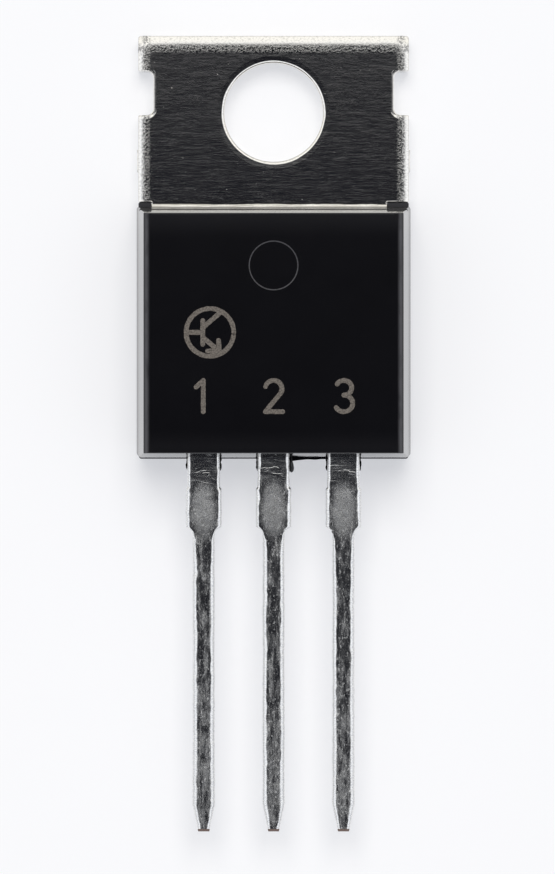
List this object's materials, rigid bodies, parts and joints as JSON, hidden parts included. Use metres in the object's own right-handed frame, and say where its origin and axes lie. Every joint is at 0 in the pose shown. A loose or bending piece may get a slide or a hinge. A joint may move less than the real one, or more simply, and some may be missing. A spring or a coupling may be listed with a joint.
{
  "type": "npn power transistor",
  "caption": "Three-lead npn power transistor: moulded black body on a metal tab with a screw hole, for mounting on a heat sink.",
  "frame": {"origin": "centre of the screw hole, on the tab's back face", "axes": "+Z out of the front through the screw hole, +Y from the leads towards the tab's end, +X towards the emitter lead"},
  "size_m": [0.01, 0.029, 0.0045],
  "materials": {
    "nickel_plated_copper": "satin",
    "black_epoxy": "matte",
    "solder": "satin",
    "silicon": "polished",
    "aluminium_film": "satin",
    "aluminium_wire": "satin"
  },
  "bodies": {
    "root": {"tab_and_collector_lead": "nickel_plated_copper", "base_lead": "nickel_plated_copper", "emitter_lead": "nickel_plated_copper", "moulded_body": "black_epoxy", "die_solder": "solder", "transistor_die": "silicon", "emitter_metal": "aluminium_film", "base_metal": "aluminium_film", "emitter_bond_wire": "aluminium_wire", "base_bond_wire": "aluminium_wire"}
  },
  "joints": []
}
